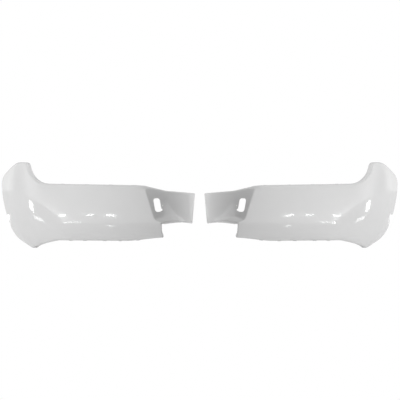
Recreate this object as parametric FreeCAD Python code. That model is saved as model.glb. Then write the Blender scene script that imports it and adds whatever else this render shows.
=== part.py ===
"""A pickup truck's rear bumper cover: a left and right pair of thin moulded shells.

Each shell slips over one half of the truck's rear bumper. It has a long crowned main
face, a corner that wraps forward to the wheel opening and rises into an ear, a recess
wall with an opening for the plate lamp, and a tab that runs behind the licence plate.
Every edge rolls over into a narrow return lip. Foam tape, edge clips and push retainers
hold the shell to the bumper underneath it.

Frame, in millimetres: X runs across the truck, Z is up, and the shells face -Y, so +Y
points forward into the truck. The origin is at the bottom centre of the pair: X = 0 is
the truck's middle, Z = 0 is the lowest edge of the covers and Y = 0 is halfway between
their rearmost and foremost points. The shapes are worked out once for the half at +X
and mirrored for the other one.
"""
import FreeCAD, Part
import math
import os
from collections import namedtuple

V = FreeCAD.Vector
UP = V(0, 0, 1)
FORWARD = V(0, 1, 0)

# ---------------------------------------------------------------- driving dimensions
SHELL = 3.0                     # wall thickness of the moulding

# Plan curve of the bumper, as a heading that turns along the distance run from X = 0
REAR_LINE = -192.27             # Y where the curve crosses X = 0
BOW_RADIUS = 3400.0             # gentle bow of the rear face
CORNER_START = 762.0            # distance along the curve where the corner begins
CORNER_FINISH = 1072.0          # and where it ends
SIDE_HEADING = math.radians(73.5)
SIDE_RADIUS = 6000.0

# Crown: how the skin falls inward above and below its fullest line
REAR_NOSE = 125.0               # height of the fullest line on the rear face
SIDE_NOSE = 290.0               # and round the corner
REAR_UPPER_CROWN = 900.0
REAR_LOWER_CROWN = 320.0
REAR_TUCK = 1.24e-5             # cubic share that tucks the lower rear face under
SIDE_CROWN = 500.0
CROWN_CHANGE_START = 640.0      # distance along the curve over which one becomes the other
CROWN_CHANGE_FINISH = 1000.0

# Recess and tab
TAB_SETBACK = 104.0             # how far the tab's flat face is forward of the rear line
TAB_FLAT_FROM = 46.0            # the wall has flattened out by this distance from the middle
WALL_STRAIGHT = 0.42            # share of the wall that is straight before it curves flat

# Fold lines, where the skin starts to roll over. Each corner is
# (distance from the middle, height, corner radius, roll radius, lip length).
Corner = namedtuple("Corner", "x z radius roll lip")

PERIMETER = [
    Corner(275.5, 297, 0, 19, 20),          # top of the crease
    Corner(560, 302, 2500, 19, 20),
    Corner(842, 305, 155, 20, 18),          # foot of the ear
    Corner(877, 414, 5, 18, 13),            # inner peak of the ear
    Corner(918, 415, 160, 18, 13),
    Corner(989, 347, 40, 11, 12),           # top of the outer end
    Corner(972, 195, 400, 8, 12),
    Corner(921, 60, 80, 9, 12),             # foot of the outer end
    Corner(838, 3.75, 70, 14, 16),            # lowest point, under the corner
    Corner(715, 48.5, 120, 19, 20),
    Corner(360, 45, 500, 19, 20),
    Corner(190, 56, 0, 8, 14),              # inner lower corner
]
FREE_END = [
    Corner(190, 56, 0, 8, 14),
    Corner(195, 80, 40, 6, 12),
    Corner(194, 127, 0, 5, 10),             # notch under the tab
]
CREASE = [
    Corner(194, 127, 0, 5, 10),
    Corner(226, 142, 33, 5, 10),
    Corner(275.5, 297, 0, 19, 20),
]
TAB_BOTTOM = [
    Corner(194, 127, 0, 5, 10),
    Corner(152, 140, 90, 8, 10),
    Corner(112, 140, 160, 8, 10),
    Corner(43, 129, 0, 7, 10),
]
TAB_END = [
    Corner(43, 129, 0, 7, 10),
    Corner(28.5, 268, 0, 5, 10),
]
TAB_TOP = [
    Corner(275.5, 297, 0, 19, 20),
    Corner(158, 277, 180, 8, 12),
    Corner(28.5, 268, 0, 5, 10),
]
MITRE_RUN = 38.0                # length over which an edge turns into its mitred corner
LIP_DIP = math.radians(5)       # how far past straight in the lip of a top edge is turned

# Plate lamp opening and its screw hole, on the recess wall
LAMP_CENTRE = (210.5, 214.0)    # distance from the middle and height
LAMP_WIDTH = 40.0
LAMP_HEIGHT = 70.0
LAMP_CORNER = 14.0
LAMP_LEAN = 3.5                 # degrees that its top leans outboard
LAMP_KEYWAY = 6.0               # radius of the notch at its lower inboard corner
LAMP_SCREW_CENTRE = (184.5, 212.0)
LAMP_SCREW_HOLE = 6.0

# Push retainers through the lower lip, each with a centre pin that pulls down
RETAINER_AT = {"inner": 400.0, "outer": 650.0}
RETAINER_HOLE = 10.4
RETAINER_SHANK = 9.8
RETAINER_BORE = 6.2
RETAINER_REACH = 15.0           # shank length above the head
RETAINER_SLIT = 1.4
HEAD_DIAMETER = 20.0
HEAD_THICKNESS = 1.6
HEAD_FLANGE = 0.6               # thickness left where the pin's head is let into the retainer's
PIN_DIAMETER = 5.4
PIN_HEAD_DIAMETER = 11.0
PIN_HEAD_THICKNESS = 1.0
SEAT_GAP = 0.2                  # left between parts that lie against each other

# Spring steel edge clips pushed onto the lips
UPPER_CLIPS_AT = [330.0, 450.0, 570.0, 690.0]
LOWER_CLIPS_AT = [310.0, 480.0, 580.0]
CLIP_STEEL = 0.8
CLIP_WIDTH = 18.0
CLIP_GRIP = 11.0
CLIP_FLARE = 2.5
CLIP_GAP = 0.45                 # left on each side of the lip, which curves a little inside the clip

# Foam tape on the inside of the shell
TAPE_THICKNESS = 1.14
TAPE_WIDTH = 12.7
TAPE_GAP = 0.1
SKIN_TAPES = {
    "upper_tape": ((300, 282), (735, 286)),
    "lower_tape": ((222, 86), (735, 72)),
    "ear_tape": ((886, 235), (890, 385)),
    "end_tape": ((955, 175), (966, 315)),
}
RECESS_TAPES = {                # in columns and rows of the recess skin
    "recess_tape": ((16.0, 5.0), (16.0, 21.5)),
    "tab_upper_tape": ((20.5, 21.0), (32.0, 21.0)),
    "tab_lower_tape": ((20.5, 4.0), (32.0, 4.0)),
}

# Numbers of points the surfaces are drawn through
STEP = 10.0
ARC_STEP = math.radians(9)
ROLL_ROWS = 8
RECESS_ROWS = 26
RECESS_COLUMNS = 34


# ---------------------------------------------------------------- small helpers
def ease(t):
    """A smooth step from 0 to 1."""
    t = max(0.0, min(1.0, t))
    return t * t * (3 - 2 * t)


def unit(v):
    return v * (1.0 / v.Length)


def mitre(a, b):
    """The vector whose reach along both unit vectors is one."""
    return (a + b) * (1.0 / (1.0 + a.dot(b)))


def sag(distance, radius):
    """How far an arc of this radius has fallen at this distance from its top."""
    return radius - math.sqrt(radius * radius - distance * distance)


# ---------------------------------------------------------------- main skin
def heading(run):
    """Direction of the plan curve at a distance along it: 0 is straight across."""
    if run > CORNER_FINISH:
        return SIDE_HEADING + (run - CORNER_FINISH) / SIDE_RADIUS
    turn = SIDE_HEADING - CORNER_FINISH / BOW_RADIUS
    return run / BOW_RADIUS + turn * ease((run - CORNER_START) / (CORNER_FINISH - CORNER_START))


def plan_table(length=1400):
    """X and Y of the plan curve at every whole millimetre along it."""
    points = [(0.0, REAR_LINE)]
    for i in range(length):
        x, y = points[-1]
        angle = heading(i + 0.5)
        points.append((x + math.cos(angle), y + math.sin(angle)))
    return points


PLAN = plan_table()


def plan_point(run):
    i = int(run)
    share = run - i
    (x0, y0), (x1, y1) = PLAN[i], PLAN[i + 1]
    return x0 + share * (x1 - x0), y0 + share * (y1 - y0)


def rear_crown(rise):
    if rise > 0:
        return sag(rise, REAR_UPPER_CROWN)
    return sag(rise, REAR_LOWER_CROWN) + REAR_TUCK * abs(rise) ** 3


def crown(run, z):
    """Distance that the skin stands inside the plan curve at a height."""
    side = ease((run - CROWN_CHANGE_START) / (CROWN_CHANGE_FINISH - CROWN_CHANGE_START))
    return (1 - side) * rear_crown(z - REAR_NOSE) + side * sag(z - SIDE_NOSE, SIDE_CROWN)


def skin(run, z):
    """Point of the main outer skin."""
    x, y = plan_point(run)
    angle = heading(run)
    inside = crown(run, z)
    return V(x - inside * math.sin(angle), y + inside * math.cos(angle), z)


def skin_slopes(run, z):
    along = (skin(run + 0.5, z) - skin(run - 0.5, z))
    upward = (skin(run, z + 0.5) - skin(run, z - 0.5))
    return along, upward


def skin_normal(run, z):
    along, upward = skin_slopes(run, z)
    return unit(along.cross(upward))


def run_at(x, z):
    """Distance along the plan curve of the skin point seen at x from straight behind."""
    low, high = 0.0, 1390.0
    for _ in range(50):
        middle = (low + high) / 2
        if skin(middle, z).x < x:
            low = middle
        else:
            high = middle
    return low


# ---------------------------------------------------------------- fold lines
Trace = namedtuple("Trace", "a b da db roll lip")


def rounded(corners):
    """Walk a chain of flat corners with its corner radii, a short step at a time.

    Each stop is (a, b, da, db, roll, lip): the place, the direction, the roll radius
    and the lip length there.
    """
    ends = []
    for i, c in enumerate(corners):
        if c.radius == 0:
            ends.append((0.0, 0.0, 0.0))
            continue
        before, after = corners[i - 1], corners[i + 1]
        a_in = math.atan2(c.z - before.z, c.x - before.x)
        a_out = math.atan2(after.z - c.z, after.x - c.x)
        turn = (a_out - a_in + math.pi) % (2 * math.pi) - math.pi
        ends.append((c.radius * math.tan(abs(turn) / 2), a_in, turn))
    stops = []
    for i, c in enumerate(corners):
        cut, a_in, turn = ends[i]
        if turn:
            stops += corner_stops(c, cut, a_in, turn)
        if i + 1 < len(corners):
            stops += line_stops(c, corners[i + 1], cut, ends[i + 1][0], first=not turn)
    last = corners[-1]
    stops.append((last.x, last.z, stops[-1][2], stops[-1][3]))
    return with_sizes(corners, stops)


def corner_stops(c, cut, a_in, turn):
    side = 1 if turn > 0 else -1
    ax = c.x - cut * math.cos(a_in)
    az = c.z - cut * math.sin(a_in)
    cx = ax - side * c.radius * math.sin(a_in)
    cz = az + side * c.radius * math.cos(a_in)
    count = max(2, math.ceil(abs(turn) / ARC_STEP), math.ceil(abs(turn) * c.radius / STEP))
    stops = []
    for k in range(count + 1):
        a = a_in + turn * k / count
        place = (cx + side * c.radius * math.sin(a), cz - side * c.radius * math.cos(a))
        stops.append(place + (math.cos(a), math.sin(a)))
    return stops


def line_stops(start, end, cut_start, cut_end, first):
    length = math.hypot(end.x - start.x, end.z - start.z)
    dx, dz = (end.x - start.x) / length, (end.z - start.z) / length
    clear = length - cut_start - cut_end
    count = max(2, math.ceil(clear / STEP))
    stops = []
    for k in range(0 if first else 1, count):
        along = cut_start + clear * k / count
        stops.append((start.x + dx * along, start.z + dz * along, dx, dz))
    return stops


def with_sizes(corners, stops):
    """Give every stop the roll radius and lip length between those of its corners."""
    nearest = []
    for c in corners:
        gaps = [math.hypot(p[0] - c.x, p[1] - c.z) for p in stops]
        nearest.append(gaps.index(min(gaps)))
    traces = []
    for i, p in enumerate(stops):
        k = max(j for j in range(len(corners) - 1) if nearest[j] <= i)
        share = ease((i - nearest[k]) / (nearest[k + 1] - nearest[k]))
        roll = corners[k].roll + share * (corners[k + 1].roll - corners[k].roll)
        lip = corners[k].lip + share * (corners[k + 1].lip - corners[k].lip)
        traces.append(Trace(*p, roll, lip))
    return traces


def unrolled(corners):
    """Corners seen from straight behind, moved onto the distance along the plan curve."""
    return [c._replace(x=run_at(c.x, c.z)) for c in corners]


# ---------------------------------------------------------------- recess skin
def even(points, count):
    """The same line drawn through a fixed number of evenly spaced points."""
    lengths = [0.0]
    for p, q in zip(points, points[1:]):
        lengths.append(lengths[-1] + math.hypot(q[0] - p[0], q[1] - p[1]))
    line = []
    k = 0
    for i in range(count):
        want = lengths[-1] * i / (count - 1)
        while k < len(points) - 2 and lengths[k + 1] < want:
            k += 1
        share = (want - lengths[k]) / (lengths[k + 1] - lengths[k])
        p, q = points[k], points[k + 1]
        line.append(tuple(a + share * (b - a) for a, b in zip(p, q)))
    return line


def seen_line(corners, count):
    return even(rounded(corners), count)


def recess_depth(x, crease_x, crease_y):
    """Y of the recess skin: straight back from the crease, then easing flat."""
    share = (crease_x - x) / (crease_x - TAB_FLAT_FROM)
    tab_y = REAR_LINE + TAB_SETBACK
    if share >= 1:
        return tab_y
    slope = 2 / (1 + WALL_STRAIGHT)
    if share < WALL_STRAIGHT:
        remaining = 1 - slope * share
    else:
        remaining = slope * (1 - share) ** 2 / (2 * (1 - WALL_STRAIGHT))
    return tab_y + (crease_y - tab_y) * remaining


def recess_grid(bottom, top, crease, end):
    """Points of the recess skin: columns from the crease inward, rows from the bottom up."""
    grid = []
    for i in range(RECESS_COLUMNS):
        u = i / (RECESS_COLUMNS - 1)
        column = []
        for j in range(RECESS_ROWS):
            v = j / (RECESS_ROWS - 1)
            x, z = (
                (1 - v) * bottom[i][k] + v * top[i][k] + (1 - u) * crease[j][k] + u * end[j][k]
                - (1 - u) * (1 - v) * bottom[0][k] - u * (1 - v) * bottom[-1][k]
                - (1 - u) * v * top[0][k] - u * v * top[-1][k]
                for k in (0, 1)
            )
            crease_x, crease_z = crease[j][0], crease[j][1]
            crease_y = skin(run_at(crease_x, crease_z), crease_z).y
            column.append(V(x, recess_depth(x, crease_x, crease_y), z))
        grid.append(column)
    return grid


def grid_normals(grid):
    """Outward normals at every point of a grid, from its neighbours."""
    columns, rows = len(grid), len(grid[0])
    normals = []
    for i in range(columns):
        line = []
        for j in range(rows):
            inward = grid[min(i + 1, columns - 1)][j] - grid[max(i - 1, 0)][j]
            upward = grid[i][min(j + 1, rows - 1)] - grid[i][max(j - 1, 0)]
            line.append(unit(upward.cross(inward)))
        normals.append(line)
    return normals


# ---------------------------------------------------------------- rolled edges
# A station is a place on a fold line: the outward normal of the skin, the direction off
# the skin's edge, the angle that the edge rolls through, its radius and the lip length.
Station = namedtuple("Station", "point normal outward turn roll lip")


def roll_turn(normal, outward, inward):
    """The angle that brings the edge round to point into the truck.

    An edge that faces up turns a little further, so that its lip slopes down inside.
    """
    angle = math.atan2(-inward.dot(normal), inward.dot(outward))
    angle += LIP_DIP * max(0.0, outward.z)
    return max(math.radians(38), min(math.radians(98), angle))


def skin_stations(corners):
    stations = []
    for t in rounded(unrolled(corners)):
        normal = skin_normal(t.a, t.b)
        along, upward = skin_slopes(t.a, t.b)
        travel = unit(along * t.da + upward * t.db)
        outward = normal.cross(travel)
        angle = heading(t.a)
        inward = V(-math.sin(angle), math.cos(angle), 0)
        turn = roll_turn(normal, outward, inward)
        stations.append(Station(skin(t.a, t.b), normal, outward, turn, t.roll, t.lip))
    return stations


def recess_stations(points, normals, seen, side):
    stations = []
    for i, (point, normal) in enumerate(zip(points, normals)):
        travel = unit(points[min(i + 1, len(points) - 1)] - points[max(i - 1, 0)])
        outward = unit(normal.cross(travel)) * side
        turn = roll_turn(normal, outward, FORWARD)
        stations.append(Station(point, normal, outward, turn, seen[i][4], seen[i][5]))
    return stations


def mitred(first, second):
    """The station shared by two edges that meet in a corner."""
    return Station(
        first.point,
        mitre(first.normal, second.normal),
        mitre(first.outward, second.outward),
        math.pi / 2,
        first.roll,
        first.lip,
    )


def with_mitres(stations, start, end):
    """Turn both ends of an edge gradually into their mitred corners."""
    lengths = [0.0]
    for p, q in zip(stations, stations[1:]):
        lengths.append(lengths[-1] + (q.point - p.point).Length)
    result = []
    for s, length in zip(stations, lengths):
        for corner, away in ((start, length), (end, lengths[-1] - length)):
            share = 1 - ease(away / MITRE_RUN)
            s = s._replace(
                normal=s.normal * (1 - share) + corner.normal * share,
                outward=s.outward * (1 - share) + corner.outward * share,
                turn=s.turn * (1 - share) + corner.turn * share,
            )
        result.append(s)
    return result


def edge_section(s):
    """One cross section of a rolled edge.

    Returns the outer points and the inner points of the roll, then those of the lip.
    """
    roll_outer, roll_inner, lip_outer, lip_inner = [], [], [], []
    for k in range(ROLL_ROWS + 1):
        a = s.turn * k / ROLL_ROWS
        face = s.outward * math.sin(a) + s.normal * math.cos(a)
        point = s.point + s.outward * (s.roll * math.sin(a)) - s.normal * (s.roll * (1 - math.cos(a)))
        roll_outer.append(point)
        roll_inner.append(point - face * SHELL)
    way = s.outward * math.cos(s.turn) - s.normal * math.sin(s.turn)
    for k in range(4):
        lip_outer.append(roll_outer[-1] + way * (s.lip * k / 3))
        lip_inner.append(roll_inner[-1] + way * (s.lip * k / 3))
    return roll_outer, roll_inner, lip_outer, lip_inner


# ---------------------------------------------------------------- the shell
def pace_of(points):
    """Distance covered at each point of a line: the parameter its spline runs on."""
    distances = [0.0]
    for p, q in zip(points, points[1:]):
        distances.append(distances[-1] + (q - p).Length)
    return distances


def even_pace(count):
    return [float(i) for i in range(count)]


def spline(points, pace):
    curve = Part.BSplineCurve()
    curve.interpolate(Points=points, Parameters=pace)
    return curve


def spline_surface(grid, pace_u, pace_v):
    """A smooth surface through every point of a grid.

    Its borders are the splines through its border points, so two surfaces that share
    a line of points and its pace share the border exactly.
    """
    columns = [spline(column, pace_v) for column in grid]
    column_poles = [curve.getPoles() for curve in columns]
    rows = []
    for k in range(len(column_poles[0])):
        rows.append(spline([poles[k] for poles in column_poles], pace_u))
    poles = list(zip(*[curve.getPoles() for curve in rows]))
    surface = Part.BSplineSurface()
    surface.buildFromPolesMultsKnots(
        poles,
        rows[0].getMultiplicities(),
        columns[0].getMultiplicities(),
        rows[0].getKnots(),
        columns[0].getKnots(),
        False, False, 3, 3,
    )
    return surface


def trimmed_face(grid, outlines):
    """The part of a surface inside a closed outline of (points, pace) lines."""
    surface = spline_surface(grid, even_pace(len(grid)), even_pace(len(grid[0])))
    edges = [spline(points, pace).toShape() for points, pace in outlines]
    face = Part.Face(surface, Part.Wire(edges))
    face.validate()
    return face


def edge_faces(stations, pace):
    """The five faces of one rolled edge: both sides of roll and lip, and the rim."""
    sections = [edge_section(s) for s in stations]
    faces = []
    for k in range(4):
        grid = [section[k] for section in sections]
        faces.append(spline_surface(grid, pace, even_pace(len(grid[0]))).toShape())
    rim = []
    for section in sections:
        outer, inner = section[2][-1], section[3][-1]
        rim.append([outer + (inner - outer) * (k / 3) for k in range(4)])
    faces.append(spline_surface(rim, pace, even_pace(4)).toShape())
    return faces


def outer_line(stations):
    return [s.point for s in stations]


def inner_line(stations):
    return [s.point - s.normal * SHELL for s in stations]


def skin_grid(inset):
    """Points of the main skin, a little larger than the cover, at a depth inside it."""
    grid = []
    for i in range(54):
        run = 140 + i * 20
        column = []
        for j in range(26):
            z = -30 + j * 19
            column.append(skin(run, z) - skin_normal(run, z) * inset)
        grid.append(column)
    return grid


Shell = namedtuple("Shell", "solid recess lower_edge upper_edge")


def build_cover():
    bottom = seen_line(TAB_BOTTOM, RECESS_COLUMNS)
    top = seen_line(TAB_TOP, RECESS_COLUMNS)
    crease = seen_line(CREASE, RECESS_ROWS)
    end = seen_line(TAB_END, RECESS_ROWS)
    recess = recess_grid(bottom, top, crease, end)
    normals = grid_normals(recess)

    perimeter = skin_stations(PERIMETER)
    free_end = skin_stations(FREE_END)
    tab_bottom = recess_stations([c[0] for c in recess], [n[0] for n in normals], bottom, 1)
    tab_top = recess_stations([c[-1] for c in recess], [n[-1] for n in normals], top, -1)
    tab_end = recess_stations(recess[-1], normals[-1], end, 1)

    crease_top = mitred(perimeter[0], tab_top[0])
    notch = mitred(free_end[-1], tab_bottom[0])
    lower_corner = mitred(perimeter[-1], free_end[0])
    tab_foot = mitred(tab_bottom[-1], tab_end[0])
    tab_head = mitred(tab_end[-1], tab_top[-1])

    perimeter = with_mitres(perimeter, crease_top, lower_corner)
    free_end = with_mitres(free_end, lower_corner, notch)
    tab_bottom = with_mitres(tab_bottom, notch, tab_foot)
    tab_end = with_mitres(tab_end, tab_foot, tab_head)
    tab_top = with_mitres(tab_top, crease_top, tab_head)

    crease_points = recess[0]
    crease_inner = []
    for j, p in enumerate(crease_points):
        main_normal = skin_normal(run_at(p.x, p.z), p.z)
        crease_inner.append(p - mitre(main_normal, normals[0][j]) * SHELL)
    crease_inner[0] = inner_line([notch])[0]
    crease_inner[-1] = inner_line([crease_top])[0]

    recess_inner = []
    for column, line in zip(recess, normals):
        recess_inner.append([p - n * SHELL for p, n in zip(column, line)])
    for i, (low, high) in enumerate(zip(inner_line(tab_bottom), inner_line(tab_top))):
        recess_inner[i][0] = low
        recess_inner[i][-1] = high
    recess_inner[-1] = inner_line(tab_end)
    recess_inner[0] = crease_inner

    along = even_pace(RECESS_COLUMNS)
    upward = even_pace(RECESS_ROWS)
    round_pace = pace_of(outer_line(perimeter))
    free_pace = pace_of(outer_line(free_end))
    recess_surface = spline_surface(recess, along, upward)
    faces = [
        recess_surface.toShape(),
        spline_surface(recess_inner, along, upward).toShape(),
        trimmed_face(skin_grid(0), [
            (outer_line(perimeter), round_pace),
            (outer_line(free_end), free_pace),
            (crease_points, upward),
        ]),
        trimmed_face(skin_grid(SHELL), [
            (inner_line(perimeter), round_pace),
            (inner_line(free_end), free_pace),
            (crease_inner, upward),
        ]),
    ]
    faces += edge_faces(perimeter, round_pace)
    faces += edge_faces(free_end, free_pace)
    faces += edge_faces(tab_bottom, along)
    faces += edge_faces(tab_top, along)
    faces += edge_faces(tab_end, upward)
    main_part = [st for st in perimeter if st.point.x < 740]
    upper_edge = [st for st in main_part if st.point.z > 200]
    lower_edge = [st for st in main_part if st.point.z < 200]
    return Shell(sewn(faces), recess_surface, lower_edge, upper_edge)


def sewn(faces):
    """One closed solid from faces whose edges meet."""
    shape = Part.Compound(faces)
    shape.sewShape(0.08)
    solid = Part.Solid(shape.Shells[0])
    if solid.Volume < 0:
        solid.reverse()
    return solid


# ---------------------------------------------------------------- openings
def placed(shape, origin, x_axis, y_axis, z_axis):
    """A shape drawn about the origin, moved to a place and turned onto three axes."""
    shape.Placement = FreeCAD.Placement(origin, FreeCAD.Rotation(x_axis, y_axis, z_axis))
    return shape


def recess_place(surface, x, z):
    """Point and outward normal of the recess skin seen at (x, z) from straight behind."""
    best = None
    for i in range(4 * RECESS_COLUMNS - 3):
        for j in range(4 * RECESS_ROWS - 3):
            point = surface.value(i / 4, j / 4)
            gap = math.hypot(point.x - x, point.z - z)
            if best is None or gap < best[0]:
                best = (gap, i / 4, j / 4)
    u, v = best[1], best[2]
    normal = surface_normal(surface, u, v)
    point = surface.value(u, v)
    point.y -= (normal.x * (x - point.x) + normal.z * (z - point.z)) / normal.y
    return V(x, point.y, z), normal


def surface_normal(surface, u, v):
    normal = surface.normal(u, v)
    return normal if normal.y < 0 else -normal


def lamp_cutters(surface):
    """The plate lamp's opening with its keyway, and the lamp's screw hole."""
    point, normal = recess_place(surface, *LAMP_CENTRE)
    across = unit(UP.cross(normal))
    lean = FreeCAD.Rotation(normal, -LAMP_LEAN)
    across = lean.multVec(across)
    upward = normal.cross(across)
    opening = Part.makeBox(
        LAMP_WIDTH, LAMP_HEIGHT, 80, V(-LAMP_WIDTH / 2, -LAMP_HEIGHT / 2, -40)
    )
    corners = [e for e in opening.Edges if abs(e.Length - 80) < 1e-6]
    opening = opening.makeFillet(LAMP_CORNER, corners)
    keyway = Part.makeCylinder(
        LAMP_KEYWAY, 80, V(-LAMP_WIDTH / 2, -LAMP_HEIGHT / 2 + LAMP_KEYWAY + 4, -40)
    )
    opening = placed(opening.fuse(keyway), point, across, upward, normal)

    point, normal = recess_place(surface, *LAMP_SCREW_CENTRE)
    screw_hole = Part.makeCylinder(LAMP_SCREW_HOLE / 2, 60, point - normal * 30, normal)
    return [opening, screw_hole]


# ---------------------------------------------------------------- fasteners
def section_at(edge, x):
    """The rolled edge's cross section at a distance from the middle."""
    stations = sorted(edge, key=lambda s: s.point.x)
    k = max(i for i in range(len(stations) - 1) if stations[i].point.x <= x)
    before, after = stations[k], stations[k + 1]
    share = (x - before.point.x) / (after.point.x - before.point.x)
    pairs = zip(edge_section(before), edge_section(after))
    return [[p + (q - p) * share for p, q in zip(a, b)] for a, b in pairs]


def retainer_seat(edge, x):
    """Centre of a retainer on the underside of the lower lip."""
    lip = section_at(edge, x)[2]
    return (lip[1] + lip[2]) * 0.5


def retainer_hole(seat):
    return Part.makeCylinder(RETAINER_HOLE / 2, 12, seat - UP * 4)


def build_retainer(seat):
    """A grommet with a domed head under the lip and a split, barbed shank above it."""
    outline = [
        V(RETAINER_BORE / 2, 0, -SEAT_GAP - HEAD_THICKNESS),
        V(HEAD_DIAMETER / 2 - 2.0, 0, -SEAT_GAP - HEAD_THICKNESS),
        V(HEAD_DIAMETER / 2, 0, -SEAT_GAP - 0.6),
        V(HEAD_DIAMETER / 2, 0, -SEAT_GAP),
        V(RETAINER_SHANK / 2, 0, -SEAT_GAP),
        V(RETAINER_SHANK / 2, 0, 6.5),
        V(RETAINER_SHANK / 2 + 1.0, 0, 8.5),
        V(RETAINER_SHANK / 2 + 0.5, 0, 10.0),
        V(RETAINER_SHANK / 2 - 1.0, 0, RETAINER_REACH),
        V(RETAINER_BORE / 2, 0, RETAINER_REACH),
    ]
    body = turned(outline)
    for angle in (0, 90):
        slit = Part.makeBox(RETAINER_SLIT, 30, 20, V(-RETAINER_SLIT / 2, -15, 3.5))
        slit.rotate(V(), UP, angle + 45)
        body = body.cut(slit)
    head_recess = Part.makeCylinder(PIN_HEAD_DIAMETER / 2 + 0.3, 5, V(0, 0, -5 - SEAT_GAP - HEAD_FLANGE))
    body = body.cut(head_recess)
    body.translate(seat)
    return body


def build_pin(seat):
    """The centre pin: a flat head let into the retainer's head, and a rounded shaft."""
    low = -SEAT_GAP - HEAD_FLANGE - SEAT_GAP
    radius = PIN_DIAMETER / 2
    outline = [
        V(0, 0, low - PIN_HEAD_THICKNESS),
        V(PIN_HEAD_DIAMETER / 2 - 0.5, 0, low - PIN_HEAD_THICKNESS),
        V(PIN_HEAD_DIAMETER / 2, 0, low - PIN_HEAD_THICKNESS + 0.4),
        V(PIN_HEAD_DIAMETER / 2, 0, low),
        V(radius, 0, low),
        V(radius, 0, RETAINER_REACH - 1.0),
        V(radius - 1.2, 0, RETAINER_REACH + 0.8),
        V(0, 0, RETAINER_REACH + 0.8),
    ]
    pin = turned(outline)
    pin.translate(seat)
    return pin


def turned(outline):
    """A solid turned about the Z axis from half of its section."""
    face = Part.Face(Part.makePolygon(outline + outline[:1]))
    return face.revolve(V(), UP, 360)


def build_clip(edge, x):
    """A U of spring steel over the lip's rim, its inner end flared to slide on."""
    lip_outer, lip_inner = section_at(edge, x)[2:]
    rim = (lip_outer[-1] + lip_inner[-1]) * 0.5
    along = unit(section_at(edge, x + 5)[2][-1] - section_at(edge, x - 5)[2][-1])
    way = lip_outer[-1] - lip_outer[0]
    way = unit(way - along * way.dot(along))
    face = way.cross(along)
    if face.dot(lip_outer[-1] - lip_inner[-1]) < 0:
        face = -face
    half = SHELL / 2 + CLIP_GAP
    outside = half + CLIP_STEEL
    points = [
        (-CLIP_GRIP, half),
        (SEAT_GAP, half),
        (SEAT_GAP, -half),
        (-CLIP_GRIP, -half),
        (-CLIP_GRIP - CLIP_FLARE, -half - CLIP_FLARE * 0.6),
        (-CLIP_GRIP - CLIP_FLARE - 0.3, -outside - CLIP_FLARE * 0.6),
        (-CLIP_GRIP, -outside),
        (SEAT_GAP + CLIP_STEEL - 0.6, -outside),
        (SEAT_GAP + CLIP_STEEL, -outside + 0.6),
        (SEAT_GAP + CLIP_STEEL, outside - 0.6),
        (SEAT_GAP + CLIP_STEEL - 0.6, outside),
        (-CLIP_GRIP + 0.4, outside),
        (-CLIP_GRIP, outside - 0.4),
    ]
    outline = [V(a, b, -CLIP_WIDTH / 2) for a, b in points]
    clip = Part.Face(Part.makePolygon(outline + outline[:1])).extrude(V(0, 0, CLIP_WIDTH))
    return placed(clip, rim, way, face, way.cross(face))


# ---------------------------------------------------------------- foam tape
def slab(near, far):
    """A thin closed solid between two grids of points."""
    pace_u = even_pace(len(near))
    pace_v = even_pace(len(near[0]))
    faces = [
        spline_surface(near, pace_u, pace_v).toShape(),
        spline_surface(far, pace_u, pace_v).toShape(),
    ]
    borders = [
        (near[0], far[0], pace_v),
        (near[-1], far[-1], pace_v),
        ([c[0] for c in near], [c[0] for c in far], pace_u),
        ([c[-1] for c in near], [c[-1] for c in far], pace_u),
    ]
    for first, second, pace in borders:
        side = [[p + (q - p) * (k / 3) for k in range(4)] for p, q in zip(first, second)]
        faces.append(spline_surface(side, pace, even_pace(4)).toShape())
    return sewn(faces)


def tape_strip(place, start, end, count):
    """A strip of tape from start to end, inside a skin given by place(a, b)."""
    da, db = end[0] - start[0], end[1] - start[1]
    near, far = [], []
    for i in range(count):
        a = start[0] + da * i / (count - 1)
        b = start[1] + db * i / (count - 1)
        centre = place(a, b)[0]
        stretch = (place(a - 0.01 * db, b + 0.01 * da)[0] - centre).Length / 0.01
        near_line, far_line = [], []
        for k in range(4):
            offset = TAPE_WIDTH * (k / 3 - 0.5) / stretch
            point, normal = place(a - db * offset, b + da * offset)
            near_line.append(point - normal * (SHELL + TAPE_GAP))
            far_line.append(point - normal * (SHELL + TAPE_GAP + TAPE_THICKNESS))
        near.append(near_line)
        far.append(far_line)
    return slab(near, far)


def skin_place(run, z):
    return skin(run, z), skin_normal(run, z)


def build_tapes(recess):
    def recess_skin_place(u, v):
        return recess.value(u, v), surface_normal(recess, u, v)

    tapes = {}
    for name, ends in SKIN_TAPES.items():
        start, end = ((run_at(x, z), z) for x, z in ends)
        count = 4 + int(math.dist(start, end) / 15)
        tapes[name] = tape_strip(skin_place, start, end, count)
    for name, (start, end) in RECESS_TAPES.items():
        tapes[name] = tape_strip(recess_skin_place, start, end, 12)
    return tapes


# ---------------------------------------------------------------- one side and its mirror
def build_side():
    """Every piece of the cover at +X, by name."""
    shell = build_cover()
    seats = {where: retainer_seat(shell.lower_edge, x) for where, x in RETAINER_AT.items()}
    cover = shell.solid
    for cutter in lamp_cutters(shell.recess) + [retainer_hole(seat) for seat in seats.values()]:
        cover = cover.cut(cutter)
    pieces = {"cover": cover.Solids[0]}
    pieces.update(build_tapes(shell.recess))
    upper = [build_clip(shell.upper_edge, x) for x in UPPER_CLIPS_AT]
    lower = [build_clip(shell.lower_edge, x) for x in LOWER_CLIPS_AT]
    pieces["upper_edge_clips"] = Part.Compound(upper)
    pieces["lower_edge_clips"] = Part.Compound(lower)
    for where, seat in seats.items():
        pieces[where + "_retainer"] = build_retainer(seat)
        pieces[where + "_retainer_pin"] = build_pin(seat)
    return pieces


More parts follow.
